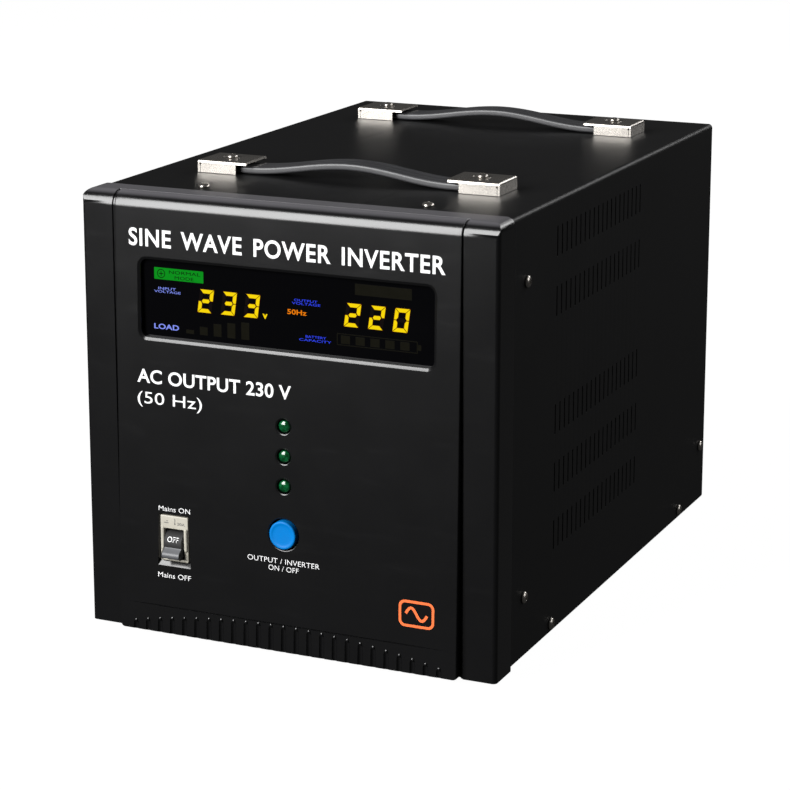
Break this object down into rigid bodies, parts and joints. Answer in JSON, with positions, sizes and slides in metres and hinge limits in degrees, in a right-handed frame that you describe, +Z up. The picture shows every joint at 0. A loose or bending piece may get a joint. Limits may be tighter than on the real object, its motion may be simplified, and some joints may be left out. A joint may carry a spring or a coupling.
{
  "type": "power inverter",
  "caption": "Black steel-cased power inverter with a digital display, push button, mains breaker, vented sides and carrying straps; fan, sockets and battery posts at the back.",
  "frame": {"origin": "on the ground under the middle of the whole unit", "axes": "+Z up, +X to the right seen from the front, +Y from the front to the back"},
  "size_m": [0.3002, 0.4838, 0.3166],
  "materials": {
    "black_moulding": "satin black moulded plastic",
    "black_paint": "fine satin black powder coat",
    "smoked_sheet": "polished dark sheet",
    "dark_plastic": "matt black",
    "circuit_board": "green solder mask",
    "green_lens": "unlit dark green lens",
    "blue_cap": "satin blue",
    "cream_plastic": "matt cream",
    "grey_lever": "matt grey",
    "bright_nickel": "bright nickel plate",
    "strap_rubber": "satin black, ribbed",
    "foot_rubber": "matt black",
    "red_plastic": "matt red",
    "post_brass": "turned brass",
    "zinc_steel": "zinc plated",
    "heatsink_aluminium": "extruded",
    "ring_core": "varnished copper winding on a steel core",
    "capacitor_sleeve": "shrink sleeve",
    "white_print": "screen print",
    "orange_print": "screen print",
    "display_face": "dark display face"
  },
  "bodies": {
    "housing": {"base_tray": "black_paint", "battery_insulator_negative": "dark_plastic", "battery_insulator_positive": "red_plastic", "battery_stud_negative": "post_brass", "battery_stud_positive": "post_brass", "breaker_body": "cream_plastic", "capacitor_left": "capacitor_sleeve", "capacitor_right": "capacitor_sleeve", "case_cover": "black_paint", "display_module": "dark_plastic", "display_window": "smoked_sheet", "fan_frame": "dark_plastic", "fan_guard": "bright_nickel", "fault_lens": "green_lens", "foot_front_left": "foot_rubber", "foot_front_right": "foot_rubber", "foot_rear_left": "foot_rubber", "foot_rear_right": "foot_rubber", "front_bezel": "black_moulding", "front_board": "circuit_board", "front_panel": "black_moulding", "front_plate": "zinc_steel", "fuse_holder": "dark_plastic", "handle_bracket_front_left": "bright_nickel", "handle_bracket_front_right": "bright_nickel", "handle_bracket_rear_left": "bright_nickel", "handle_bracket_rear_right": "bright_nickel", "handle_screw_front_left": "bright_nickel", "handle_screw_front_right": "bright_nickel", "handle_screw_rear_left": "bright_nickel", "handle_screw_rear_right": "bright_nickel", "handle_strap_front": "strap_rubber", "handle_strap_rear": "strap_rubber", "heatsink": "heatsink_aluminium", "inverter_lens": "green_lens", "mains_inlet": "dark_plastic", "mains_lens": "green_lens", "output_socket_left": "dark_plastic", "output_socket_right": "dark_plastic", "power_board": "circuit_board", "power_switch": "dark_plastic", "rear_panel": "black_paint", "side_screw_left_1": "bright_nickel", "side_screw_left_2": "bright_nickel", "side_screw_left_3": "bright_nickel", "side_screw_left_4": "bright_nickel", "side_screw_left_5": "bright_nickel", "side_screw_right_1": "bright_nickel", "side_screw_right_2": "bright_nickel", "side_screw_right_3": "bright_nickel", "side_screw_right_4": "bright_nickel", "side_screw_right_5": "bright_nickel", "top_screw_left": "bright_nickel", "top_screw_right": "bright_nickel", "transformer": "ring_core", "transformer_bolt": "zinc_steel", "transformer_plate": "zinc_steel"},
    "push_button": {"power_button": "blue_cap"},
    "breaker_toggle": {"breaker_lever": "grey_lever"},
    "fan_wheel": {"fan_rotor": "dark_plastic"}
  },
  "joints": [
    {"name": "power_button_press", "type": "slide", "parent": "housing", "child": "push_button", "axis": [0, 1, 0], "range_m": [0, 0.003], "stiffness_N_per_m": 500, "springref_m": -0.002},
    {"name": "breaker_throw", "type": "hinge", "parent": "housing", "child": "breaker_toggle", "pos_m": [-0.0818, -0.22954, 0.069], "axis": [-1, 0, 0], "range_deg": [0, 70]},
    {"name": "fan_spin", "type": "hinge", "parent": "housing", "child": "fan_wheel", "pos_m": [0.074, 0.19328, 0.213], "axis": [0, 1, 0], "continuous": true}
  ]
}
